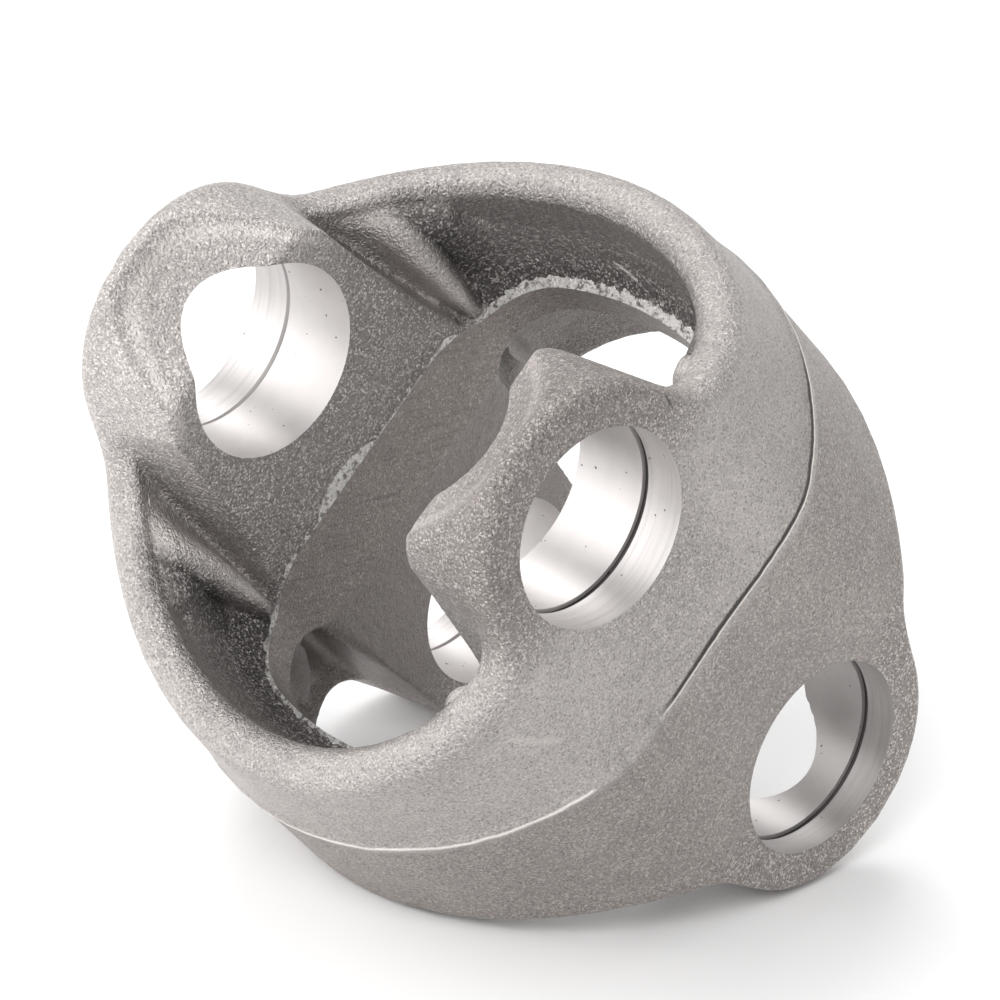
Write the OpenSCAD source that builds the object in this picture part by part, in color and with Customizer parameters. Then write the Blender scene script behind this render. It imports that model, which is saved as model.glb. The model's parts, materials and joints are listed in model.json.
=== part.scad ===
// Centre yoke of a double cardan joint: one drop-forged ring with two pairs of bored ears.
// Millimetres. It is drawn on the shaft axis and then laid on its side, as it rests on a table.

/* [Bearing bores] */
// Diameter of the bores that take the bearing cups
bore_d = 36; // [30:0.5:40]
// Distance between the two joint centres, along the shaft axis
joint_spacing = 86; // [80:1:96]
// Distance between the inner walls of a pair's snap ring grooves
groove_span = 89; // [84:0.5:92]
// Width of a snap ring groove
groove_w = 1.4; // [1:0.1:3.5]
// Depth of a snap ring groove
groove_depth = 1; // [0.6:0.1:1.8]
// Diameter of the bore outside the snap ring groove
mouth_d = 36.6; // [36:0.1:38]

/* [Ring] */
// Size of the ring over its two side lobes, at the parting plane
ring_d = 126.8; // [120:0.2:132]
// How far the centre of a side lobe's arc lies from the shaft axis
lobe_offset = 3; // [0:0.5:8]
// Height of the parting plane above the middle of the yoke
part_z = 4; // [0:0.5:6]
// Width over the two flat sides at the parting plane
flats_w = 111; // [106:0.5:116]
// Height of the upper rim above the middle of the yoke, at the middle of each side lobe
rim_lobe_z = 24; // [18:0.5:30]
// Height of the upper rim above the middle of the yoke, where it meets an ear
rim_ear_z = 43; // [34:0.5:46]
// How the rim falls from the ears to the lobes: 1 is straight, and less falls early
rim_bend = 0.75; // [0.5:0.05:1.2]
// How much further the lower rim and the ends of the lower ears reach
lower_extra = 1.4; // [0:0.2:3]
// Thickness of the rounded rim
rim_t = 8.4; // [6:0.2:12]
// Draft of the outer wall in degrees
outer_draft = 3.5; // [1:0.5:7]
// Draft of the outer wall at the middle of a side lobe, above the parting plane, in degrees
upper_draft = 3; // [0:0.5:6]
// The same draft below the parting plane
lower_draft = 1; // [0:0.5:6]

/* [Ears] */
// Clear width between the inner faces of a pair of ears
ear_gap = 57.4; // [52:0.2:64]
// Radius of the rounded end of an ear
ear_r = 25.5; // [23:0.5:29]
// Height of the centre of that rounding above the bore's centre
ear_lift = 0.6; // [0:0.2:4]
// Steepness of an ear's flanks, as rise over run
flank_slope = 4; // [2.5:0.1:6]
// Height above the bore's centre at which the inner face starts to slope outwards
relief_z = 13.5; // [4:0.5:18]
// Slope of that relief where it starts, in degrees from the shaft axis
relief_a = 63; // [20:0.5:75]
// Depth of the valley that runs up beside an ear, inside the ring
valley_depth = 3.5; // [0:0.5:5]
// Height of the rounded ramp between that valley and the lobe's pocket
ramp_h = 3.6; // [0:0.2:5]
// Depth of the pocket inside a side lobe, below its rim
pocket_depth = 2; // [0:0.2:6]

/* [Punched hole] */
// Length of the hole through the web, from lobe to lobe
hole_l = 92.8; // [84:0.4:102]
// Corner radius of the hole
hole_r = 15; // [10:1:24]
// Radius of its two bowed ends
bow_r = 63; // [50:1:120]
// Thickness of the web at the edge of the hole, in the side lobes
web_t = 8; // [6:0.5:16]
// How much higher that edge is under the ears
web_rise = 5; // [0:0.5:6]

/* [Forging details] */
// Draft of the ears' inner faces in degrees
pad_draft = 0.7; // [0:0.1:3]
// Height of the trimmed flash at the parting line
flash_h = 0.5; // [0:0.1:1]
// Width of the trimmed flash
flash_w = 2.4; // [1:0.2:5]
// Radius that blends the ring into its flat sides
flat_blend = 2.5; // [1:0.5:8]
// Radius that blends the rim into the ears' flanks
flank_blend = 12; // [3:0.5:16]

/* [Hidden] */
joint_z = joint_spacing / 2;
ear_z0 = joint_z + ear_lift;
ear_top = ear_z0 + ear_r;
ring_r = ring_d / 2;
flat_x = flats_w / 2;
pad_step = 0.3;
hole_x = ear_gap / 2 - pad_step;
hole_y = hole_l / 2;
web_z = web_t / 2;
fan_y = ear_r - 1;
punch_clear = 3;
relief_curve = 0.02;
ramp_a = 14.5;
edge_a = 18;
bore_clear = 20;
valley_a = 3.5;
valley_spread = 3.6;
ramp_spread = 5;
ear_ledge = 0.8;
lobe_ledge = 1.6;

// What differs between the halves: [height of the parting plane, lobe draft, extra reach]
UPPER = [part_z, upper_draft, 0];
LOWER = [-part_z, lower_draft, lower_extra];

// Rest angle: the yoke lies on the lower rim of one side lobe and on the rounded ends of two ears
rim_flat = 0.4;
rim_r = (rim_t - rim_flat) / 2;
function lobe_y(k) = ring_r - tan(k[1]) * (rim_lobe_z + k[2] - k[0]) - rim_r;
function lobe_z(k) = rim_lobe_z + k[2] - rim_r;
ear_run = ear_z0 + lower_extra - lobe_z(LOWER);
lie_a = 90 - acos((ear_r - rim_r) / norm([lobe_y(LOWER), ear_run])) + atan2(ear_run, lobe_y(LOWER));

// Reach of each half along and across the table, which puts the origin at the middle of its box
function reach_y(k) = lobe_y(k) * cos(lie_a) + lobe_z(k) * sin(lie_a) + rim_r;
function reach_z(k) = max((ear_z0 + k[2]) * cos(lie_a) + ear_r, lobe_y(k) * sin(lie_a) + lobe_z(k) * cos(lie_a) + rim_r);
middle = [0, reach_y(UPPER) - reach_y(LOWER), reach_z(LOWER) - reach_z(UPPER)] / 2;

function clamp(v, lo, hi) = min(max(v, lo), hi);
function smooth(u) = let(c = clamp(u, 0, 1)) c * c * (3 - 2 * c);
function mix(a, b, w) = a + (b - a) * w;
function soft_min(a, b, k) = let(h = clamp(0.5 + (b - a) / (2 * k), 0, 1)) mix(b, a, h) - k * h * (1 - h);
function soft_max(a, b, k) = -soft_min(-a, -b, k);

// A station is [y of its origin, direction in degrees]. The ears' stations are parallel to the bores,
// and those of a side lobe fan out from a point on the plane between the ears.
ear_steps = [0, 0.3, 0.5, 0.64, 0.76, 0.86, 0.94, 1];
fan_steps = [1.5, 3, 5, 7, 9, 11, 13, 15, 17, 19, 21, 24, 29, 36, 44, 53, 63, 73, 82, 90];
quarter = [for (s = ear_steps) [s * fan_y, 0], for (a = fan_steps) [fan_y, a]];
quarter_n = len(quarter);

// Distance along a station to the arc of a side lobe, to a flat side and to the hole's edge
function to_arc(s, reach) = let(y = s[0] - lobe_offset, r = reach - lobe_offset)
    -y * sin(s[1]) + sqrt(r * r - pow(y * cos(s[1]), 2));
function to_flat(s, x) = x / max(cos(s[1]), 0.001);
corner_x = hole_x - hole_r;
bow_y = hole_y - bow_r;
corner_y = bow_y + sqrt(pow(bow_r - hole_r, 2) - corner_x * corner_x);
function to_circle(s, x, y, r) = let(b = (y - s[0]) * sin(s[1]) + x * cos(s[1]))
    b + sqrt(max(b * b - x * x - pow(y - s[0], 2) + r * r, 0));
function to_hole(s) = let(
    side = to_flat(s, hole_x),
    end = to_circle(s, 0, bow_y, bow_r))
    s[0] + side * sin(s[1]) <= corner_y ? side
    : end * cos(s[1]) <= corner_x * bow_r / (bow_r - hole_r) ? end : to_circle(s, corner_x, corner_y, hole_r);

// Outer wall at a height z, for the half k
function outer_r(s, z, k) = soft_min(
    to_arc(s, ring_r - tan(k[1]) * (z - k[0])),
    to_flat(s, flat_x - tan(outer_draft) * (z - k[0])), flat_blend);

// Height of an ear's outline and of the rim beside it, at a distance y from the plane between the ears
function ear_z(y) = let(yc = min(y, 0.97 * ear_r))
    ear_z0 + sqrt(ear_r * ear_r - yc * yc) - flank_slope * (y - yc);
rim_y = ring_r - tan(upper_draft) * (rim_lobe_z - part_z) - rim_t / 2;
function rim_z(y) = mix(rim_ear_z, rim_lobe_z, pow(clamp((y - ear_r) / (rim_y - ear_r), 0, 1), rim_bend));
function crest_y(s) = s[0] + (outer_r(s, rim_lobe_z, UPPER) - rim_t / 2) * sin(s[1]);
function top_z(s, k) = let(y = crest_y(s)) soft_max(ear_z(y), rim_z(y), flank_blend) + k[2];

// Outward reach of the relief at a height h above its start: it steepens towards the tip
function relief_x(h) = tan(relief_a) * h - relief_curve * h * h;

// Inner face of an ear: upright, then sloping outwards towards the tip, and the edge of that face
function pad_x(z) = ear_gap / 2 + tan(pad_draft) * (z - web_z)
    + relief_x(soft_max(z - joint_z - relief_z, 0, 1));
function pad_edge_y(z) = ear_r - 3.2 + 7.7 * pow(clamp(1 - z / ear_top, 0, 1), 2);

// Height of the web's edge: higher under the ears than in the side lobes
function floor_z(s) = web_z + web_rise * (1 - smooth(s[1] / 12)) * (1 - smooth((s[0] / fan_y - 0.7) / 0.6));

// Inner wall beside an ear and round a side lobe, from the hole's edge to the rim. A valley runs up
// beside the ear, then a rounded ramp, whose far edge drops into the lobe's pocket.
function bell(x, middle, spread) = exp(-pow((x - middle) / spread, 2));
function wall_r(s, z, k) = let(
    zt = top_z(s, k),
    crest = outer_r(s, min(zt, rim_ear_z), k) - rim_t,
    u = clamp((z - web_z) / max(zt - web_z - rim_t / 2, 1), 0, 1),
    past_edge = smooth((s[1] - edge_a + 1) / 2),
    ledge = mix(ear_ledge, lobe_ledge, past_edge),
    band = smooth(u / 0.15) * smooth((1 - u) / 0.25),
    valley = valley_depth * band * bell(s[1], valley_a, valley_spread),
    ramp = ramp_h * band * bell(s[1], ramp_a, ramp_spread) * (1 - past_edge),
    pocket = pocket_depth * smooth(u / 0.25) * past_edge)
    min(mix(to_hole(s) + ledge, crest, u) + valley - ramp + pocket, crest);
function inner_r(s, z, k) = s[1] == 0 ? pad_x(z)
    : s[1] < 2 ? mix(pad_x(z), wall_r(s, z, k), 0.6) : wall_r(s, z, k);

// Slope at which the rim's inner edge meets the wall, in degrees from level, and the width of that edge
function rim_turn(s) = mix(40, 58, smooth(s[1] / 12));
function rim_in(s) = mix(1.2, rim_r, smooth(s[1] / 12));

// Sideways shift that makes the stations at an ear's edge follow the edge of its inner face
function edge_shift(s, z) = (pad_edge_y(z) - fan_y) * (s[0] / fan_y) * (1 - smooth(s[1] / 16));

// One half of a station's section, from the parting plane over the crest to the web: [r, z, shift].
// z counts away from the middle of the yoke.
outer_us = [0.25, 0.45, 0.6, 0.75, 0.88, 1];
relief_us = [0.75, 0.45, 0.15];
wall_us = [1, 0.8, 0.6, 0.42, 0.25, 0.12, 0];
rim_us = [0.25, 0.5, 0.75, 1];
function half_section(s, k) = let(
    z1 = top_z(s, k) - rim_r,
    ro = outer_r(s, z1, k),
    room = ro - rim_r - rim_in(s),
    zf = floor_z(s),
    turn = rim_turn(s),
    zi = z1 + rim_r * cos(turn),
    zk = min(joint_z + relief_z - 1, zi - 2),
    inner_zs = concat([for (u = relief_us) mix(zk, zi, u)], [for (u = wall_us) mix(zf, zk, u)]),
    ri = min(inner_r(s, zi, k), room),
    shift = edge_shift(s, zi),
    r0 = outer_r(s, k[0], k),
    flash_z = k[0] + flash_w / 2)
    concat(
        [[r0 + flash_h, k[0], 0], [r0 + flash_h, flash_z, 0], [r0, flash_z + flash_h, 0]],
        [for (u = outer_us) let(z = mix(flash_z + flash_h, z1, u)) [outer_r(s, z, k), z, 0]],
        [for (u = rim_us) [ro - rim_r * (1 - cos(90 * u)), z1 + rim_r * sin(90 * u), 0]],
        [for (u = rim_us) [ri + rim_in(s) * (1 - sin(turn * u) / sin(turn)), z1 + rim_r * cos(turn * u), shift]],
        [for (z = inner_zs) [min(inner_r(s, z, k), room), z, edge_shift(s, z)]],
        [[to_hole(s) - punch_clear, zf, edge_shift(s, zf)]]);
half_n = len(half_section(quarter[0], UPPER));
section_n = 2 * half_n - 1;

// The whole section: the half above the parting plane, then the lower half turned over
function section(s) = let(lower = half_section(s, LOWER))
    concat(half_section(s, UPPER), [for (i = [half_n - 1 : -1 : 1]) [lower[i][0], -lower[i][1], lower[i][2]]]);
function place(s, p, mx, my) = [mx * p[0] * cos(s[1]), my * (s[0] + p[2] + p[0] * sin(s[1])), p[1]];

module forging() {
    order = concat(
        [for (i = [0 : quarter_n - 1]) [i, 1, 1]],
        [for (i = [quarter_n - 2 : -1 : 0]) [i, -1, 1]],
        [for (i = [1 : quarter_n - 1]) [i, -1, -1]],
        [for (i = [quarter_n - 2 : -1 : 1]) [i, 1, -1]]);
    n = len(order);
    points = [for (o = order) each [for (p = section(quarter[o[0]])) place(quarter[o[0]], p, o[1], o[2])]];
    faces = [for (i = [0 : n - 1], j = [0 : section_n - 1])
        let(a = i * section_n + j, b = i * section_n + (j + 1) % section_n,
            c = ((i + 1) % n) * section_n + j, d = ((i + 1) % n) * section_n + (j + 1) % section_n)
        each [[a, b, c], [b, d, c]]];
    polyhedron(points, faces, convexity = 8);
}

// Outline of the hole: in each quarter a rounded corner, then half of a bowed end
module punched_hole() {
    turn = asin(corner_x / (bow_r - hole_r));
    corner = [for (i = [0 : 16]) let(a = (90 - turn) * i / 16)
        [corner_x + hole_r * cos(a), corner_y + hole_r * sin(a)]];
    bow = [for (i = [1 : 5]) let(a = turn * (1 - i / 5)) [bow_r * sin(a), bow_y + bow_r * cos(a)]];
    side = concat(corner, bow);
    n = len(side) - 1;
    linear_extrude(web_t + 2 * (web_rise + punch_clear), center = true)
        polygon(concat(side, [for (i = [n - 1 : -1 : 0]) [-side[i][0], side[i][1]]],
            [for (i = [0 : n]) [-side[i][0], -side[i][1]]], [for (i = [n - 1 : -1 : 0]) [side[i][0], -side[i][1]]]));
}

module bore_cut() {
    rotate([0, 90, 0]) {
        cylinder(h = 2 * (flat_x + bore_clear), d = bore_d, center = true, $fn = 96);
        for (m = [0, 1]) mirror([0, 0, m]) {
            translate([0, 0, groove_span / 2]) cylinder(h = groove_w, d = bore_d + 2 * groove_depth, $fn = 96);
            translate([0, 0, groove_span / 2 + groove_w]) cylinder(h = bore_clear, d = mouth_d, $fn = 96);
        }
    }
}

module centre_yoke() {
    color("darkgray") translate(middle) rotate([lie_a, 0, 0]) difference() {
        forging();
        punched_hole();
        for (z = [-joint_z, joint_z]) translate([0, 0, z]) bore_cut();
    }
}

centre_yoke();
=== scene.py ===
"""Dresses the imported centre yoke: a shot-blasted forging with sheared and machined cuts, on a pale floor."""

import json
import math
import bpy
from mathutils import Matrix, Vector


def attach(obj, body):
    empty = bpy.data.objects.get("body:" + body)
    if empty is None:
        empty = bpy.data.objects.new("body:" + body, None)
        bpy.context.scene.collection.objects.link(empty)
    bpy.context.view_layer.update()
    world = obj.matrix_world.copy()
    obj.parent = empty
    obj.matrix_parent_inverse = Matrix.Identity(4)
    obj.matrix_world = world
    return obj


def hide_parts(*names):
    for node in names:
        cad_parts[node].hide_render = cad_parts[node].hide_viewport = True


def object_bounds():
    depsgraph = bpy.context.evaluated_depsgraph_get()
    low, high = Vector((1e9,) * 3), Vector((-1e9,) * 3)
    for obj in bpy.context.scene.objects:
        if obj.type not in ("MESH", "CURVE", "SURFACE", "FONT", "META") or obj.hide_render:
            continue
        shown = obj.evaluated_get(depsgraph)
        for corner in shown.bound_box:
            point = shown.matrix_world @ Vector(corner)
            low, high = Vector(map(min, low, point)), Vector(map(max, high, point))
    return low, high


bl_info = {
    "name": "Centre Yoke",
    "version": (1, 0, 0),
    "blender": (4, 5, 0),
    "location": "3D View > Sidebar > Yoke",
    "description": "Builds the forged centre yoke of a double cardan joint and its studio",
    "category": "Object",
}

import bpy
from mathutils import Euler, Matrix, Vector

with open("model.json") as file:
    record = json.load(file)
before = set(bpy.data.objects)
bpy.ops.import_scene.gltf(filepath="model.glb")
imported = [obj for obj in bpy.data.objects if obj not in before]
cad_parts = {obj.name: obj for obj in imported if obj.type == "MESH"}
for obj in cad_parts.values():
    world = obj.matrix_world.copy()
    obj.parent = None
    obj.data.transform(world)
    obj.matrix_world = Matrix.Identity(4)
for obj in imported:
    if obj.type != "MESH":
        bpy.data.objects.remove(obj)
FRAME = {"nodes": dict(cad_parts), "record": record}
CAD_NODE = "centre_yoke"
CAD_BOX = [list(corner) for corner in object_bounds()]
MOUNTS = {m["name"]: m for m in FRAME["record"]["mounts"]}
JOINTS = [Vector(MOUNTS[name]["pos_m"]) for name in ("upper_bore", "lower_bore")]
BORE_R = MOUNTS["upper_bore"]["dims"]["r_mm"] / 1000
GROOVE_AT = MOUNTS["upper_bore"]["dims"]["length_mm"] / 2000

# The yoke's own axes: X along the bores, Z along the shaft, and the origin midway between the joints
MIDDLE = (JOINTS[0] + JOINTS[1]) / 2
JOINT_Z = (JOINTS[0] - MIDDLE).length
LIE = math.atan2(MIDDLE.y - JOINTS[0].y, JOINTS[0].z - MIDDLE.z)
TO_ROW = Matrix.Translation(MIDDLE) @ Matrix.Rotation(LIE, 4, "X")
TO_SHAFT = TO_ROW.inverted()

# Marks of the forging's shape in those axes, in metres
FAN_Y = 0.0245  # an ear's side edge, from where the angle round a side lobe is measured
EAR_Y = 0.0255  # where the rim starts to fall towards a lobe
LOBE_Y = 0.059  # where it is lowest
RIM_FALL = 0.019  # how far it falls
RIM_BEND = 0.75  # how soon it falls: under 1 is sooner
RIM_Z = 0.0425  # the rim's height beside an ear
RING_IN = 0.0535  # what is nearer the shaft's axis lies inside the ring
RIM_CLEAR = 0.003  # the inner wall is left alone this close to the rim
RAMP_Z = 0.0095  # just over the web, where the ramps above it start
ARCH_Z = 0.005  # how far below the middle the arches under the web start
WEB_EAR_Z = 0.009  # top of the punched wall under an ear
WEB_LOBE_Z = 0.004  # and at a lobe
PARTING_Z = 0.004  # height of the parting ridge
PARTING_WANDER = 0.0014  # how far it wanders up and down
RELIEF_R = 0.0222  # radius of the edge where an ear's relief ends
PATCH_Y = -0.006  # middle of the torn patch under an ear
PATCH_REACH = 0.009  # its half length
PATCH_H = 0.003  # its height

# The same inside the ring, as angles round a side lobe from an ear's edge, in degrees
RAMP_TURNS = (0.5, 44)  # where the ramps and the arches start and end
SOFT_TURN = 36  # end of what is smoothed
ARCH_TURN = 14.5  # middle of an arch
ARCH_END = 18
CRESTS = ((0.25, 14, 4), (0.95, 24, 8))  # share, middle and spread of a ramp's two crests

SLACK = 0.00001  # points closer than this are one
BORE_SLACK = 0.0012  # what lies this close outside a bore's radius is its wall
HOLE_SLACK = 0.0002  # and the same for the punched hole
WEB_HALF = 0.02  # the web lies within this height on both sides of the middle

# The camera, in the yoke's own axes
CAMERA_AT = Vector((1.33238, -0.33300, 1.58679))
CAMERA_RIGHT = Vector((0.6868109, 0.5638968, -0.4585970))
CAMERA_UP = Vector((-0.3517097, 0.8100004, 0.4692543))


# Settings that a user would change


class YokeSizes(bpy.types.PropertyGroup):
    voxel: bpy.props.FloatProperty(
        name="Voxel", description="Mesh size the forging is rebuilt at", default=0.00055, unit="LENGTH"
    )
    smoothing: bpy.props.IntProperty(
        name="Smoothing",
        description="Passes that round the forging's inner corners",
        default=5,
        min=0,
        max=30,
    )
    kept_faces: bpy.props.IntProperty(
        name="Kept triangles", description="Triangles kept in the forging before it is cut", default=130000
    )
    groove_w: bpy.props.FloatProperty(
        name="Groove width", description="Width of a snap ring groove", default=0.0012, unit="LENGTH"
    )
    groove_depth: bpy.props.FloatProperty(
        name="Groove depth", description="Depth of a snap ring groove", default=0.0010, unit="LENGTH"
    )
    mouth_r: bpy.props.FloatProperty(
        name="Mouth radius", description="Radius of a bore outside its groove", default=0.0183, unit="LENGTH"
    )
    hole_l: bpy.props.FloatProperty(
        name="Hole length",
        description="Length of the punched hole, lobe to lobe",
        default=0.0928,
        unit="LENGTH",
    )
    hole_w: bpy.props.FloatProperty(
        name="Hole width", description="Width of the punched hole", default=0.0568, unit="LENGTH"
    )
    hole_r: bpy.props.FloatProperty(
        name="Hole corner radius",
        description="Corner radius of the punched hole",
        default=0.015,
        unit="LENGTH",
    )
    bow_r: bpy.props.FloatProperty(
        name="Hole end radius",
        description="Radius of the punched hole's bowed ends",
        default=0.063,
        unit="LENGTH",
    )
    lip_w: bpy.props.FloatProperty(
        name="Lip width",
        description="Width of the torn lip round the punched hole",
        default=0.0019,
        unit="LENGTH",
    )


class SteelLook(bpy.types.PropertyGroup):
    forged: bpy.props.FloatVectorProperty(
        name="Forged",
        description="Colour of the shot-blasted skin",
        subtype="COLOR",
        default=(0.45, 0.42, 0.405),
    )
    sheared: bpy.props.FloatVectorProperty(
        name="Sheared", description="Colour of the punched wall", subtype="COLOR", default=(0.30, 0.27, 0.253)
    )
    machined: bpy.props.FloatVectorProperty(
        name="Machined", description="Colour of the bores", subtype="COLOR", default=(0.56, 0.536, 0.527)
    )
    # Near white: partly the torn metal's own colour, partly a painted highlight
    torn: bpy.props.FloatVectorProperty(
        name="Torn", description="Colour of the torn lip", subtype="COLOR", default=(0.92, 0.90, 0.88)
    )


class StageSettings(bpy.types.PropertyGroup):
    floor: bpy.props.FloatVectorProperty(
        name="Floor",
        description="Colour of the floor and background",
        subtype="COLOR",
        default=(0.94, 0.94, 0.94),
    )
    focal: bpy.props.FloatProperty(
        name="Focal length", description="Camera lens on a 36 mm sensor", default=432.0, min=50
    )


# Modelling helpers


def only(obj):
    """Leaves one object selected and active."""
    bpy.ops.object.select_all(action="DESELECT")
    obj.select_set(True)
    bpy.context.view_layer.objects.active = obj


def edit(obj, pick=None):
    """Opens an object in edit mode, with the faces that pick says selected."""
    only(obj)
    mesh = obj.data
    chosen = [False] * len(mesh.vertices)
    if pick:
        chosen = [bool(pick(v.co)) for v in mesh.vertices]
    mesh.vertices.foreach_set("select", chosen)
    mesh.edges.foreach_set("select", [all(chosen[i] for i in e.vertices) for e in mesh.edges])
    mesh.polygons.foreach_set("select", [all(chosen[i] for i in p.vertices) for p in mesh.polygons])
    bpy.ops.object.mode_set(mode="EDIT")
    bpy.ops.mesh.select_mode(type="FACE")


def close():
    bpy.ops.object.mode_set(mode="OBJECT")


def modify(obj, kind, **settings):
    """Adds a modifier, sets it and applies it."""
    only(obj)
    mod = obj.modifiers.new(kind.title(), kind)
    for key, value in settings.items():
        setattr(mod, key, value)
    bpy.ops.object.modifier_apply(modifier=mod.name)


def settle(obj):
    """Writes an object's place into its mesh."""
    only(obj)
    bpy.ops.object.transform_apply(location=True, rotation=True, scale=True)


def turned(name, steps, segments=160):
    """A solid turned about the X axis, from steps of (place along X, radius)."""
    x, r = steps[0]
    bpy.ops.object.select_all(action="DESELECT")
    bpy.ops.mesh.primitive_circle_add(
        vertices=segments, radius=r, fill_type="NGON", location=(x, 0, 0), rotation=(0, math.pi / 2, 0)
    )
    obj = bpy.context.object
    obj.name = name
    settle(obj)
    edit(obj, pick=lambda co: True)
    for nx, nr in steps[1:]:
        bpy.ops.mesh.extrude_region_move(TRANSFORM_OT_translate={"value": (nx - x, 0, 0)})
        if nr != r:
            bpy.ops.transform.resize(value=(1, nr / r, nr / r), center_override=(nx, 0, 0))
        x, r = nx, nr
    bpy.ops.mesh.select_all(action="SELECT")
    bpy.ops.mesh.normals_make_consistent(inside=False)
    close()
    return obj


def shaft_co(co):
    """A point in the yoke's own axes: X along the bores and Z along the shaft."""
    return TO_SHAFT @ co


def in_bore(co):
    """True on a bore's wall."""
    p = shaft_co(co)
    return math.hypot(p.y, abs(p.z) - JOINT_Z) < BORE_R + BORE_SLACK


def fade(value, start, length):
    """Rises from 0 at the start to 1 after the length."""
    return min(max((value - start) / length, 0.0), 1.0)


def bell(x, middle, spread):
    """1 at the middle, falling off to both sides."""
    return math.exp(-(((x - middle) / spread) ** 2))


def beside_ear(co):
    """Angle round a side lobe from the ear's edge in degrees, depth below the rim (0 outside) and height."""
    p = shaft_co(co)
    x, y = abs(p.x), abs(p.y)
    turn = math.degrees(math.atan2(y - FAN_Y, x))
    fall = fade(y, EAR_Y, LOBE_Y - EAR_Y) ** RIM_BEND
    depth = RIM_Z - RIM_FALL * fall - abs(p.z)
    return turn, depth if math.hypot(x, y) < RING_IN else 0.0, p.z


def hole_marks(size):
    """Centre of the hole's rounded corner, centre of its bowed end, and the angle where the two meet."""
    x = size.hole_w / 2 - size.hole_r
    bow_y = size.hole_l / 2 - size.bow_r
    turn = math.asin(x / (size.bow_r - size.hole_r))
    return x, bow_y + (size.bow_r - size.hole_r) * math.cos(turn), bow_y, turn


def in_hole(co, size):
    """True on the punched hole's wall."""
    p = shaft_co(co)
    corner_x, corner_y, bow_y, turn = hole_marks(size)
    x, y = abs(p.x), abs(p.y)
    past = math.hypot(x - corner_x, y - corner_y) - size.hole_r
    if y < corner_y:
        past = x - size.hole_w / 2
    elif math.atan2(x, y - bow_y) < turn:
        past = math.hypot(x, y - bow_y) - size.bow_r
    return abs(p.z) < WEB_HALF and past < HOLE_SLACK


def cut(obj, cutter):
    """Takes one solid out of another and deletes it. The new faces get the cutter's material."""
    modify(obj, "BOOLEAN", object=cutter, operation="DIFFERENCE", solver="EXACT", material_mode="TRANSFER")
    bpy.data.objects.remove(cutter)


# Materials


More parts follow.
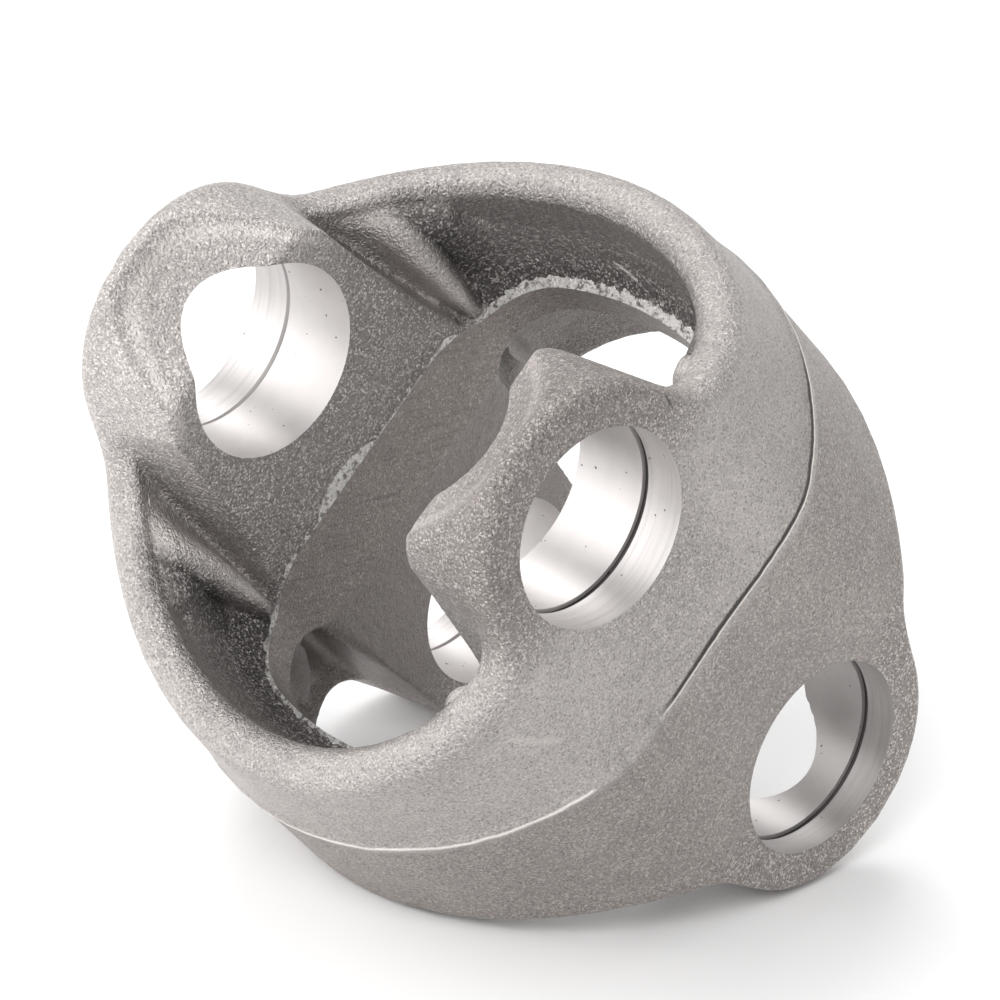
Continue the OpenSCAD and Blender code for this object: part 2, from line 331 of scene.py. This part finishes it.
class Nodes:
    """Adds shader nodes to a material and links them."""

    def __init__(self, name):
        self.material = bpy.data.materials.new(name)
        self.material.use_nodes = True
        self.tree = self.material.node_tree
        self.shader = self.tree.nodes["Principled BSDF"]
        self.place = self.add("ShaderNodeTexCoord").outputs["Object"]

    def add(self, kind, **settings):
        node = self.tree.nodes.new(kind)
        for key, value in settings.items():
            setattr(node, key, value)
        return node

    def feed(self, socket, value):
        if isinstance(value, bpy.types.NodeSocket):
            self.tree.links.new(value, socket)
        else:
            socket.default_value = value

    def noise(self, scale, detail=2.0, rough=0.5, at=None, stretch=None, lean=0.0):
        """Cloudy noise from 0 to 1. Stretch draws it out along an axis, and lean tips it about X."""
        place = at or self.place
        if stretch:
            mapping = self.add("ShaderNodeMapping", vector_type="TEXTURE")
            self.feed(mapping.inputs["Vector"], place)
            mapping.inputs["Rotation"].default_value = (lean, 0, 0)
            mapping.inputs["Scale"].default_value = [1 / share for share in stretch]
            place = mapping.outputs["Vector"]
        node = self.add("ShaderNodeTexNoise")
        self.feed(node.inputs["Vector"], place)
        node.inputs["Scale"].default_value = scale
        node.inputs["Detail"].default_value = detail
        node.inputs["Roughness"].default_value = rough
        return node.outputs["Fac"]

    def crumbs(self, scale):
        """Small cells, each with its own number from 0 to 1."""
        node = self.add("ShaderNodeTexVoronoi")
        self.feed(node.inputs["Vector"], self.place)
        node.inputs["Scale"].default_value = scale
        return self.split(node.outputs["Color"])[0]

    def split(self, vector):
        node = self.add("ShaderNodeSeparateXYZ")
        self.feed(node.inputs[0], vector)
        return node.outputs

    def math(self, op, a, b=0.0, c=None, clamp=False):
        node = self.add("ShaderNodeMath", operation=op, use_clamp=clamp)
        self.feed(node.inputs[0], a)
        self.feed(node.inputs[1], b)
        if c is not None:
            self.feed(node.inputs[2], c)
        return node.outputs[0]

    def times(self, value, *factors):
        """Product of two values or more."""
        for factor in factors:
            value = self.math("MULTIPLY", value, factor)
        return value

    def minus(self, a, b):
        return self.math("SUBTRACT", a, b)

    def inverse(self, value):
        return self.math("SUBTRACT", 1.0, value)

    def span(self, value, a, b, lo=0.0, hi=1.0, ease="LINEAR"):
        """Goes from lo to hi while the value goes from a to b, and stays there past them."""
        node = self.add("ShaderNodeMapRange", clamp=True, interpolation_type=ease)
        self.feed(node.inputs["Value"], value)
        for key, number in (("From Min", a), ("From Max", b), ("To Min", lo), ("To Max", hi)):
            node.inputs[key].default_value = number
        return node.outputs["Result"]

    def mix(self, fac, a, b, blend="MIX"):
        node = self.add("ShaderNodeMix", data_type="RGBA", blend_type=blend)
        self.feed(node.inputs["Factor"], fac)
        self.feed(node.inputs["A"], a)
        self.feed(node.inputs["B"], b)
        return node.outputs["Result"]

    def bump(self, height, distance, strength=1.0, after=None):
        """A surface direction with the height's relief, on top of another one if that is given."""
        node = self.add("ShaderNodeBump")
        self.feed(node.inputs["Height"], height)
        node.inputs["Distance"].default_value = distance
        node.inputs["Strength"].default_value = strength
        if after:
            self.feed(node.inputs["Normal"], after)
        return node.outputs["Normal"]

    def vector(self, op, a, b=None, scale=None):
        node = self.add("ShaderNodeVectorMath", operation=op)
        self.feed(node.inputs[0], a)
        if b is not None:
            self.feed(node.inputs[1], b)
        if scale is not None:
            self.feed(node.inputs["Scale"], scale)
        return node.outputs["Value" if op in ("DOT_PRODUCT", "DISTANCE") else "Vector"]

    def stroke(self, place, a, b, width, squash=(1, 1, 1)):
        """1 along the line from a to b and 0 past its width. Squash narrows the axis across the surface."""
        squash = Vector(squash)
        a, b = Vector(a) * squash / 1000, Vector(b) * squash / 1000
        along = b - a
        off = self.vector("SUBTRACT", self.vector("MULTIPLY", place, squash), a)
        share = self.math("DIVIDE", self.vector("DOT_PRODUCT", off, along), along.length_squared, clamp=True)
        near = self.vector("SCALE", along, scale=share)
        return self.span(self.vector("DISTANCE", off, near), width * 0.0003, width / 1000, 1, 0)

    def hypot(self, a, b):
        """Length of the vector (a, b)."""
        return self.math("SQRT", self.math("MULTIPLY_ADD", a, a, self.times(b, b)))

    def choose(self, test, no, yes):
        """One value where the test is 0, and the other where it is 1."""
        return self.math("MULTIPLY_ADD", test, self.minus(yes, no), no)

    def past_hole(self, x, y, size):
        """How far a place lies outside the punched hole's outline, from its X and Y without their signs."""
        corner_x, corner_y, bow_y, turn = hole_marks(size)
        over = self.minus(y, bow_y)
        side = self.minus(x, size.hole_w / 2)
        bow = self.minus(self.hypot(x, over), size.bow_r)
        corner = self.minus(self.hypot(self.minus(x, corner_x), self.minus(y, corner_y)), size.hole_r)
        past = self.choose(self.math("LESS_THAN", self.math("ARCTAN2", x, over), turn), corner, bow)
        return self.choose(self.math("LESS_THAN", y, corner_y), past, side)

    def shaft_place(self):
        """Object coordinates turned to the yoke's own axes."""
        node = self.add("ShaderNodeMapping")
        self.feed(node.inputs["Vector"], self.place)
        node.inputs["Rotation"].default_value = Euler((-LIE, 0, 0))
        node.inputs["Location"].default_value = TO_SHAFT.translation
        return node.outputs["Vector"]

    def set(self, key, value):
        self.feed(self.shader.inputs[key], value)


# Ends of the marks on the skin, in millimetres in the yoke's own axes
SCUFFS = (((55.4, -18.0, 6.0), (55.0, -18.6, -5.8)), ((55.0, -26.2, 6.1), (54.3, -27.7, -4.3)))
SLIT = ((52.6, 24.4, 47.9), (52.8, 23.7, 45.6))
SCRATCHES = (((-7.8, 51.1, 8.4), (-2.4, 50.2, 6.7)), ((49.0, -36.3, 25.8), (52.5, -31.1, 18.9)))

# Shares of red, green and blue in the browner places: one ear's own tint, and the painted shade on the half
# under the parting
EAR_BROWN = (0.2, 0.16, 0.14)
LOW_SHADE_TINT = (0.2, 0.14, 0.1)


def tint(color, k, shares=(1, 1, 1)):
    """A colour made lighter or darker, as red, green, blue and alpha."""
    return tuple(min(c * k * share, 1.0) for c, share in zip(color, shares)) + (1.0,)


class Skin(Nodes):
    """Nodes of the forged skin, with the places and masks that its patterns share."""

    def __init__(self):
        super().__init__("blasted_steel")
        self.own = self.shaft_place()
        self.x, self.y, self.z = self.split(self.own)
        self.across, self.aside, self.high = [self.math("ABSOLUTE", v) for v in (self.x, self.y, self.z)]
        self.out = self.hypot(self.x, self.y)
        self.turn = self.math("ARCTAN2", self.minus(self.aside, FAN_Y), self.across)
        inside = self.span(self.out, 0.050, 0.057, 1, 0)
        self.hollow = self.times(inside, self.span(self.high, 0.040, 0.052, 1, 0))
        self.under = self.times(self.hollow, self.span(self.z, -0.002, -0.006))
        self.brown = self.times(self.span(self.x, 0.015, 0.040), self.span(self.z, 0.034, 0.050))
        fall = self.math("POWER", self.span(self.aside, EAR_Y, LOBE_Y), RIM_BEND)
        rim = self.span(self.math("MULTIPLY_ADD", fall, RIM_FALL, self.high), 0.036, 0.041)
        self.coarse = self.math("MAXIMUM", self.hollow, rim)


def blasted_steel(look, size):
    """Shot-blasted forging skin: peened grain with bright specks painted as glints, painted shade inside the
    ring, and a torn lip whose bright tone is partly a painted highlight.
    """
    n = Skin()
    color = look.forged
    grain = n.noise(2200, 2, 0.6)
    mottle = n.noise(420, 3, 0.6)
    tone = n.mix(n.span(n.noise(60, 4, 0.6), 0.35, 0.65), tint(color, 0.9), tint(color, 1.1))
    tone = n.mix(n.span(mottle, 0.3, 0.7, 0.0, 0.5), tone, tint(color, 1.05))
    tone = outer_tones(n, tone, color)
    tone = hollow_shade_and_highlight(n, tone, look)
    tone = n.mix(n.inverse(n.times(n.under, 0.7)), tone, n.span(grain, 0.32, 0.5, 0.6, 1.0), "MULTIPLY")
    # Painted glints: bright specks in the skin's colour
    tone = n.mix(specks(n), tone, tint(color, 1.75))
    ridge, shadowed_dent = parting(n)
    # Painted highlight along the parting ridge, and painted shadow in the dent above it
    tone = n.mix(n.times(ridge, 0.95), tone, tint(color, 2.1))
    tone = n.mix(shadowed_dent, tone, tint(color, 0.12))
    tone = forge_marks(n, tone, color)
    lip, folds, bright = torn_lip(n, look, size)
    # The torn lip, partly its own bright metal and partly a painted highlight, stronger towards one lobe
    tone = n.mix(n.times(lip, n.span(n.y, -0.03, 0.03, 0.75, 1.0)), tone, bright)

    n.set("Base Color", tone)
    n.set("Metallic", 0.8)
    n.set("Roughness", n.span(grain, 0.3, 0.7, 0.55, 0.36))
    height = n.math("ADD", n.times(grain, 0.8), n.times(n.noise(4800, 1, 0.5), 0.25))
    height = n.times(height, n.math("MULTIPLY_ADD", n.coarse, 0.9, 0.85))
    height = n.math("ADD", height, n.times(n.noise(1000, 2, 0.55), n.coarse, 1.3))
    height = n.times(height, n.inverse(n.times(n.under, 0.7)))
    normal = n.bump(n.minus(ridge, shadowed_dent), 0.0004)
    normal = n.bump(n.times(lip, folds), 0.0004, after=normal)
    normal = n.bump(mottle, 0.0006, 0.6, after=normal)
    n.set("Normal", n.bump(height, 0.00042, after=normal))
    return n.material


def outer_tones(n, tone, color):
    """A painted highlight on the edge where an ear's relief ends, one browner ear, and painted shade on the
    half under the parting.
    """
    # Painted highlight on the edge where an ear's relief ends
    off_ear = n.minus(n.high, JOINT_Z + 0.0006)
    off_edge = n.math("ABSOLUTE", n.minus(n.hypot(n.y, off_ear), RELIEF_R))
    crest = n.times(n.span(off_edge, 0.0003, 0.0014, 1, 0), n.span(n.across, 0.048, 0.046))
    crest = n.times(crest, n.span(off_ear, 0.004, 0.010))
    tone = n.mix(n.times(crest, 0.8), tone, tint(color, 1.6))
    tone = n.mix(n.times(n.brown, 0.5), tone, tint(color, 1, EAR_BROWN))
    # Painted shade: the outer skin under the parting is made darker and browner
    low = n.times(n.span(n.z, 0.004, 0.001), n.inverse(n.hollow))
    return n.mix(n.times(low, 0.34), tone, tint(color, 1, LOW_SHADE_TINT))


def hollow_shade_and_highlight(n, tone, look):
    """Painted shade inside the ring, a painted highlight on the ramps there, and painted shade in the punched
    wall's darker tone under the web.
    """
    steep = n.times(n.span(n.turn, 0.05, 0.20), n.span(n.turn, 0.26, 0.36, 1, 0), n.span(n.z, 0.006, 0.012))
    dark = n.times(n.span(n.aside, 0.024, 0.034, 0.38, 0.94), n.math("MULTIPLY_ADD", steep, -0.85, 1.0))
    # Painted shade inside the ring, weaker on the ramps
    tone = n.mix(n.times(n.hollow, dark), tone, tint(look.forged, 0.22))
    # Painted highlight on the ramps
    tone = n.mix(n.times(n.hollow, steep, 0.6), tone, tint(look.forged, 1.7))
    # Painted shade under the web
    return n.mix(n.times(n.under, 0.7), tone, tint(look.sheared, 0.8))


def specks(n):
    """Bright specks painted into the colour as glints of the blasted grain, stronger on the rims and by the
    ears, weaker under the web.
    """
    lit = n.times(n.coarse, n.span(n.aside, 0.026, 0.034, 1.0, 0.35))
    speck = n.times(n.span(n.crumbs(3000), 0.66, 0.98), n.math("MULTIPLY_ADD", lit, 0.5, 0.4))
    return n.times(speck, n.inverse(n.times(n.under, 0.9)), n.inverse(n.times(n.brown, 0.4)))


def parting(n):
    """Masks of the parting ridge, a thin wandering line broken in one place, and of the dent above it. The
    ridge's tone carries a painted highlight and the dent's a painted shadow.
    """
    middle = PARTING_Z + PARTING_WANDER / 2
    off = n.math("ADD", n.z, n.math("MULTIPLY_ADD", n.noise(95, 3, 0.55), PARTING_WANDER, -middle))
    outside = n.span(n.out, 0.053, 0.0545)
    near = n.span(n.x, 0.030, 0.040)
    gap = n.times(near, n.times(n.span(n.y, -0.0335, -0.0325), n.span(n.y, -0.016, -0.0145, 1, 0)))
    width = n.math("MULTIPLY_ADD", n.span(n.y, -0.034, -0.030, 1, 0), 0.00025, 0.00032)
    edge = n.math("SUBTRACT", 1.2, n.math("DIVIDE", n.math("ABSOLUTE", off), width), clamp=True)
    ridge = n.times(edge, outside, n.inverse(gap))
    above = n.math("ABSOLUTE", n.minus(off, 0.00065))
    shadowed_dent = n.times(n.span(above, 0.00025, 0.0006, 1, 0), n.times(outside, near))
    return ridge, n.times(shadowed_dent, n.span(n.y, -0.017, -0.012, 0.0, 0.95))


def forge_marks(n, tone, color):
    """Two scuffs below the ridge, a slit in an ear, a scratch in a pocket and a scar on a lobe."""
    flat = (0.15, 1, 1)
    scuffs = [n.stroke(n.own, *ends, width, flat) for ends, width in zip(SCUFFS, (1.5, 1.3))]
    marks = (
        (n.math("MAXIMUM", *scuffs), 0.25, 0.4),
        (n.stroke(n.own, *SLIT, 0.4, flat), 0.7, 0.15),
        (n.stroke(n.own, *SCRATCHES[0], 0.35, (1, 0.15, 1)), 0.8, 1.6),
        (n.stroke(n.own, *SCRATCHES[1], 0.7, (0.3, 0.5, 1)), 0.3, 1.6),
    )
    for mark, strength, k in marks:
        tone = n.mix(n.times(mark, strength), tone, tint(color, k))
    return tone


def torn_lip(n, look, size):
    """Mask, folds and tone of the lip: broad on one lobe, thin on the other, a seam and patch at one ear. Its
    near-white tone is partly the torn metal's own and partly a painted highlight.
    """
    past = n.past_hole(n.across, n.aside, size)
    rag = n.math("MULTIPLY_ADD", n.noise(500, 3, 0.6), 0.0030, -0.0015)
    over = n.minus(n.z, n.span(n.turn, 0, math.radians(12), WEB_EAR_Z, WEB_LOBE_Z, "SMOOTHSTEP"))
    broad = n.span(n.y, -0.01, 0.01, size.lip_w * 0.4, size.lip_w)
    on_lobe = n.times(n.math("LESS_THAN", n.math("ADD", past, rag), broad), n.span(over, 0.0022, 0.0010))
    share = n.math("DIVIDE", n.minus(n.y, PATCH_Y), PATCH_REACH)
    patch = n.math("MAXIMUM", 0.0, n.math("MULTIPLY_ADD", n.times(share, share), -PATCH_H, PATCH_H))
    patch = n.times(patch, n.math("LESS_THAN", n.x, 0.0))
    seam_top = n.math("ADD", n.math("MULTIPLY_ADD", rag, 0.4, patch), 0.0004)
    on_ear = n.times(n.math("LESS_THAN", over, seam_top), n.span(past, 0.0022, 0.0012))
    lip = n.choose(n.math("LESS_THAN", n.aside, 0.0285), on_lobe, on_ear)
    lip = n.times(lip, n.math("GREATER_THAN", n.z, 0.0))
    across = n.math("ABSOLUTE", n.math("MULTIPLY_ADD", past, 2 / size.lip_w, -1.0))
    bead = n.math("SUBTRACT", 1.0, across, clamp=True)
    folds = n.math("MULTIPLY_ADD", n.noise(1100, 3, 0.6), 1.4, n.times(bead, 0.5))
    teeth = n.span(n.noise(900, 3, 0.6), 0.36, 0.50)
    return lip, folds, n.mix(teeth, tint(look.forged, 0.6), tint(look.torn, 1.08))


def sheared_steel(color):
    """Punched wall: smooth, with fine scratches along the shaft's axis, slanted scores and a few specks."""
    n = Nodes("sheared_steel")
    own = n.shaft_place()
    streak = n.noise(1500, 3, 0.6, at=own, stretch=(1, 1, 0.12))
    grain = n.noise(2600, 2, 0.6)
    cloud = n.noise(150, 3, 0.6)
    score = n.noise(1100, 3, 0.65, at=own, stretch=(1, 1, 0.05), lean=0.7)
    tone = n.mix(n.span(streak, 0.3, 0.7), tint(color, 0.92), tint(color, 1.06))
    tone = n.mix(n.span(cloud, 0.35, 0.65, 0.0, 0.6), tone, tint(color, 1.12))
    tone = n.mix(n.span(score, 0.56, 0.66, 0.0, 0.5), tone, tint(color, 0.6))
    tone = n.mix(n.span(score, 0.38, 0.32, 0.0, 0.4), tone, tint(color, 1.5))
    tone = n.mix(1.0, tone, n.span(grain, 0.34, 0.5, 0.62, 1.0), "MULTIPLY")
    tone = n.mix(n.span(n.crumbs(2300), 0.8, 1.0, 0.0, 0.5), tone, tint(color, 1.9))
    n.set("Base Color", tone)
    n.set("Metallic", 0.75)
    n.set("Roughness", n.span(grain, 0.3, 0.7, 0.5, 0.4))
    n.set("Normal", n.bump(grain, 0.0003, 0.8, after=n.bump(score, 0.00015, 0.6)))
    return n.material


def machined_steel(color):
    """Bored wall: satin, with fine turning marks round the bore, painted shade in the grooves and a few pits.
    """
    n = Nodes("machined_steel")
    own = n.shaft_place()
    x, y, z = n.split(own)
    radius = n.hypot(y, n.minus(n.math("ABSOLUTE", z), JOINT_Z))
    groove = n.span(radius, BORE_R + 0.0007, BORE_R + 0.0009)
    mouth = n.span(n.math("ABSOLUTE", x), GROOVE_AT, GROOVE_AT + 0.001)
    turning = n.noise(5200, 2, 0.6, stretch=(1, 0.02, 0.02))
    marks = n.noise(1500, 3, 0.65, stretch=(1, 0.03, 0.03))
    cloud = n.noise(120, 3, 0.55)
    tone = n.mix(n.span(cloud, 0.3, 0.7), tint(color, 0.93), tint(color, 1.07))
    tone = n.mix(n.times(mouth, n.span(marks, 0.45, 0.7, 0.0, 0.5)), tone, tint(color, 0.7))
    pit = n.span(n.noise(1000, 1, 0.5), 0.765, 0.79)
    tone = n.mix(pit, tone, (0.08, 0.072, 0.07, 1))
    # Painted shade in the grooves' bottoms
    tone = n.mix(n.times(groove, 0.85), tone, (0.05, 0.046, 0.044, 1))
    n.set("Base Color", tone)
    n.set("Metallic", 0.75)
    n.set("Roughness", n.span(cloud, 0.3, 0.7, 0.42, 0.5))
    n.set("Normal", n.bump(turning, 0.00002, 0.5, after=n.bump(marks, 0.000015, 0.4)))
    return n.material


# The yoke


class YOKE_OT_forging(bpy.types.Operator):
    """Rebuilds the forged body without its cuts, with rounded inner corners"""

    bl_idname = "yoke.forging"
    bl_label = "Forging"

    def execute(self, context):
        size = context.scene.yoke_sizes
        cad = FRAME["nodes"][CAD_NODE]
        obj = bpy.data.objects.new("forged_yoke", cad.data.copy())
        context.collection.objects.link(obj)
        obj.data.materials.clear()
        edit(obj, pick=lambda co: True)
        bpy.ops.mesh.remove_doubles(threshold=SLACK)
        close()
        # The walls of the bores and of the punched hole come off, and their openings are closed
        edit(obj, pick=lambda co: in_bore(co) or in_hole(co, size))
        bpy.ops.mesh.delete(type="FACE")
        bpy.ops.mesh.select_all(action="SELECT")
        bpy.ops.mesh.fill_holes(sides=0)
        close()
        voxel = size.voxel * 1.0
        modify(obj, "REMESH", mode="VOXEL", voxel_size=voxel, adaptivity=0.0, use_smooth_shade=True)
        modify(obj, "SMOOTH", factor=0.5, iterations=size.smoothing)
        self.shape_ramps(obj)
        kept = min(1.0, size.kept_faces / (2 * len(obj.data.polygons)))
        modify(obj, "DECIMATE", decimate_type="COLLAPSE", ratio=kept)
        look = context.scene.steel_look
        obj.data.materials.append(blasted_steel(look, size))
        return {"FINISHED"}

    def shape_ramps(self, obj):
        """Fattens the four ramps above the web, and evens the same places below it into plain arches."""
        groups = {name: obj.vertex_groups.new(name=name) for name in ("raised", "carved", "soft", "softer")}
        for vertex in obj.data.vertices:
            turn, depth, z = beside_ear(vertex.co)
            if not RAMP_TURNS[0] < turn < RAMP_TURNS[1] or depth < RIM_CLEAR:
                continue
            deep = fade(depth, RIM_CLEAR, 0.004)
            weights = {}
            if z > RAMP_Z:
                crest = sum(share * bell(turn, middle, spread) for share, middle, spread in CRESTS)
                weights["raised"] = deep * fade(z, RAMP_Z, 0.012) * crest
                weights["soft"] = deep if turn < SOFT_TURN else 0.0
            elif z < -ARCH_Z:
                arch = bell(turn, ARCH_TURN, 5) if turn < ARCH_END else 0.0
                weights["carved"] = deep * fade(-z, ARCH_Z, 0.004) * arch
                weights["softer"] = deep if turn < SOFT_TURN else 0.0
            for name, weight in weights.items():
                if weight > 0.01:
                    groups[name].add([vertex.index], min(weight, 1.0), "REPLACE")
        modify(obj, "DISPLACE", vertex_group="raised", strength=0.0047, mid_level=0.0)
        modify(obj, "DISPLACE", vertex_group="carved", strength=-0.0036, mid_level=0.0)
        modify(obj, "SMOOTH", vertex_group="soft", factor=0.5, iterations=14)
        modify(obj, "SMOOTH", vertex_group="softer", factor=0.5, iterations=60)
        obj.vertex_groups.clear()


class YOKE_OT_bores(bpy.types.Operator):
    """Bores the ears, with their snap ring grooves and mouths"""

    bl_idname = "yoke.bores"
    bl_label = "Bores"

    def execute(self, context):
        size = context.scene.yoke_sizes
        yoke = bpy.data.objects["forged_yoke"]
        bright = machined_steel(context.scene.steel_look.machined)
        groove_r = BORE_R + size.groove_depth
        out = GROOVE_AT + size.groove_w
        mid = GROOVE_AT + size.groove_w / 2
        past_ear = 0.07
        half = [(GROOVE_AT, BORE_R), (GROOVE_AT, groove_r), (mid, groove_r)]
        half += [(out, size.mouth_r), (past_ear, size.mouth_r)]
        steps = [(-x, r) for x, r in reversed(half)] + half
        for joint in JOINTS:
            cutter = turned("bore_cutter", steps)
            cutter.location = joint
            settle(cutter)
            cutter.data.materials.append(bright)
            cut(yoke, cutter)
        return {"FINISHED"}


class YOKE_OT_punching(bpy.types.Operator):
    """Punches the hole through the web; its torn lip is drawn by the skin's material"""

    bl_idname = "yoke.punching"
    bl_label = "Punched hole"

    def execute(self, context):
        size = context.scene.yoke_sizes
        yoke = bpy.data.objects["forged_yoke"]
        bpy.ops.object.select_all(action="DESELECT")
        bpy.ops.curve.primitive_bezier_circle_add(radius=size.hole_l / 2)
        cutter = context.object
        bpy.ops.object.mode_set(mode="EDIT")
        bpy.ops.curve.select_all(action="SELECT")
        bpy.ops.curve.subdivide()
        close()
        self.outline(cutter.data.splines[0].bezier_points, size)
        cutter.data.dimensions = "2D"
        cutter.data.fill_mode = "BOTH"
        cutter.data.extrude = 0.017
        cutter.data.resolution_u = 20
        only(cutter)
        bpy.ops.object.convert(target="MESH")
        cutter = context.object
        edit(cutter, pick=lambda co: True)
        bpy.ops.mesh.remove_doubles(threshold=SLACK)
        bpy.ops.mesh.normals_make_consistent(inside=False)
        close()
        cutter.rotation_euler = (LIE, 0, 0)
        cutter.location = MIDDLE
        settle(cutter)
        cutter.data.materials.append(sheared_steel(context.scene.steel_look.sheared))
        cut(yoke, cutter)
        return {"FINISHED"}

    def outline(self, points, size):
        """Sets a closed curve of eight points to the hole's outline: sides, round corners and bowed ends."""
        corner_x, corner_y, bow_y, turn = hole_marks(size)
        side = 2 * corner_y / 3
        corner = math.tan((math.pi / 2 - turn) / 4) * size.hole_r * 4 / 3
        bow = math.tan(turn / 2) * size.bow_r * 4 / 3
        a = Vector((corner_x + size.hole_r, corner_y, 0))
        b = Vector((size.bow_r * math.sin(turn), bow_y + size.bow_r * math.cos(turn), 0))
        over = Vector((-1, 1, 1))
        lean = Vector((-math.cos(turn), math.sin(turn), 0))
        half = [
            (a, Vector((0, 1, 0)), side, corner),
            (b, lean, corner, bow),
            (b * over, lean * Vector((1, -1, 1)), bow, corner),
            (a * over, Vector((0, -1, 0)), corner, side),
        ]
        marks = half + [(-co, -way, before, after) for co, way, before, after in half]
        for point, (co, way, before, after) in zip(points, marks):
            point.handle_left_type = point.handle_right_type = "FREE"
            point.co = co
            point.handle_left = co - way * before
            point.handle_right = co + way * after


class YOKE_OT_finish(bpy.types.Operator):
    """Shades the yoke and sets what it rides on and replaces"""

    bl_idname = "yoke.finish"
    bl_label = "Finish"

    def execute(self, context):
        yoke = bpy.data.objects["forged_yoke"]
        only(yoke)
        bpy.ops.object.shade_smooth_by_angle(angle=math.radians(40))
        # The cuts' edges stay crisp, also where they meet the skin at a low angle
        for name in ("sheared_steel", "machined_steel"):
            yoke.active_material_index = yoke.data.materials.find(name)
            edit(yoke)
            bpy.ops.object.material_slot_select()
            bpy.ops.mesh.region_to_loop()
            bpy.ops.mesh.mark_sharp()
            close()
        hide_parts(CAD_NODE)
        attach(yoke, "root")
        return {"FINISHED"}


# The stage


class STAGE_OT_build(bpy.types.Operator):
    """Builds the floor, the lamps, the world and the camera"""

    bl_idname = "stage.build"
    bl_label = "Stage"

    def execute(self, context):
        stage = context.scene.stage_settings
        low = CAD_BOX[0][2]
        bpy.ops.object.select_all(action="DESELECT")
        bpy.ops.mesh.primitive_plane_add(size=8, location=(0, 0, low))
        floor = context.object
        floor.name = "studio_floor"
        floor.data.materials.append(self.pale(stage.floor))

        world = bpy.data.worlds.new("studio")
        context.scene.world = world
        world.use_nodes = True
        back = world.node_tree.nodes["Background"]
        back.inputs["Color"].default_value = (1, 1, 1, 1)
        back.inputs["Strength"].default_value = 0.63

        self.lamp("key_light", (-0.82, -0.97, 0.32), 1.8, 25)
        self.lamp("top_light", (-0.7, 0.6, 1.1), 0.8, 9)
        self.lamp("high_light", (0.72, -1.07, 1.18), 0.7, 12)

        data = bpy.data.cameras.new("photo_camera")
        data.lens = stage.focal
        data.sensor_width = 36.0
        data.clip_end = 50
        camera = bpy.data.objects.new("photo_camera", data)
        context.collection.objects.link(camera)
        turn = Matrix((CAMERA_RIGHT, CAMERA_UP, CAMERA_RIGHT.cross(CAMERA_UP))).transposed().to_4x4()
        camera.matrix_world = TO_ROW @ Matrix.Translation(CAMERA_AT) @ turn
        context.scene.camera = camera
        context.scene.view_settings.view_transform = "Standard"
        return {"FINISHED"}

    def lamp(self, name, place, size, power):
        """A square area lamp that faces the yoke."""
        data = bpy.data.lights.new(name, "AREA")
        data.size = size
        data.energy = power
        obj = bpy.data.objects.new(name, data)
        bpy.context.collection.objects.link(obj)
        obj.location = place
        obj.rotation_euler = (-Vector(place)).to_track_quat("-Z", "Y").to_euler()

    def pale(self, color):
        """A matt floor that stays pale to the camera and in reflections, and takes a soft shadow."""
        n = Nodes("pale_floor")
        path = n.add("ShaderNodeLightPath").outputs
        seen = n.math("MAXIMUM", path["Is Glossy Ray"], path["Is Transmission Ray"])
        seen = n.math("MAXIMUM", path["Is Camera Ray"], seen)
        n.set("Base Color", n.mix(seen, (0.6, 0.6, 0.6, 1), (*color[:3], 1)))
        n.set("Roughness", 0.9)
        return n.material


class VIEW3D_PT_yoke(bpy.types.Panel):
    bl_label = "Centre Yoke"
    bl_space_type = "VIEW_3D"
    bl_region_type = "UI"
    bl_category = "Yoke"

    def draw(self, context):
        for step in STEPS:
            self.layout.operator(step.bl_idname)
        for group in GROUPS:
            settings = getattr(context.scene, group)
            for key in settings.__annotations__:
                self.layout.prop(settings, key)


STEPS = (YOKE_OT_forging, YOKE_OT_punching, YOKE_OT_bores, YOKE_OT_finish, STAGE_OT_build)
GROUPS = {"yoke_sizes": YokeSizes, "steel_look": SteelLook, "stage_settings": StageSettings}


def register():
    for cls in (*GROUPS.values(), *STEPS, VIEW3D_PT_yoke):
        bpy.utils.register_class(cls)
    for name, group in GROUPS.items():
        setattr(bpy.types.Scene, name, bpy.props.PointerProperty(type=group))


def unregister():
    for name in GROUPS:
        delattr(bpy.types.Scene, name)
    for cls in reversed((*GROUPS.values(), *STEPS, VIEW3D_PT_yoke)):
        bpy.utils.unregister_class(cls)


def main():
    register()
    bpy.ops.yoke.forging()
    bpy.ops.yoke.punching()
    bpy.ops.yoke.bores()
    bpy.ops.yoke.finish()
    bpy.ops.stage.build()


if __name__ == "__main__":
    main()
